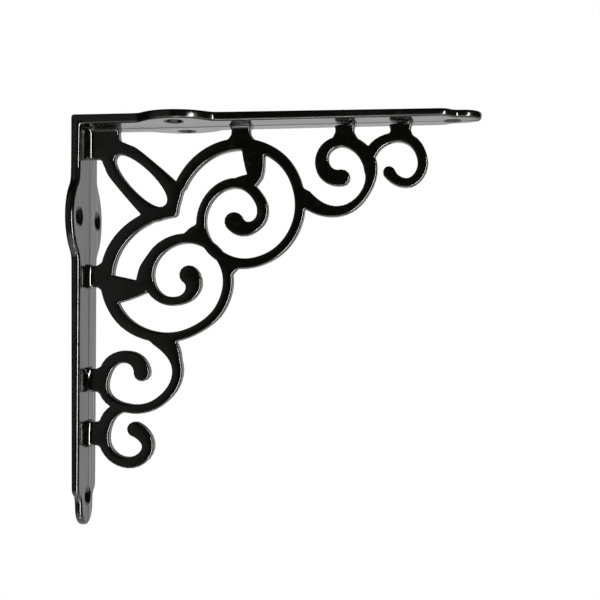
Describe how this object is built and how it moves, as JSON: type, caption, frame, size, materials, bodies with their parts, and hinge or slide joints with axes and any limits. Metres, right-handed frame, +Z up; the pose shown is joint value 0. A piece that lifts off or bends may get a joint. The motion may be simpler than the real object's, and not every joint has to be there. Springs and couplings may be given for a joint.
{
  "type": "shelf bracket",
  "caption": "Ornamental cast-iron shelf bracket: wall and shelf plates at a right angle, joined by an openwork web of scrolls, with countersunk screw holes.",
  "frame": {"origin": "on the back of the wall plate, on its middle line and halfway down it, in the plane of the wall", "axes": "+X out from the wall, along the shelf plate; +Y across the plates; +Z up to the underside of the shelf"},
  "size_m": [0.2015, 0.0468, 0.203],
  "materials": {
    "black_paint": "gloss black paint over the cast surface"
  },
  "bodies": {
    "root": {"scroll_bracket": "black_paint"}
  },
  "joints": []
}
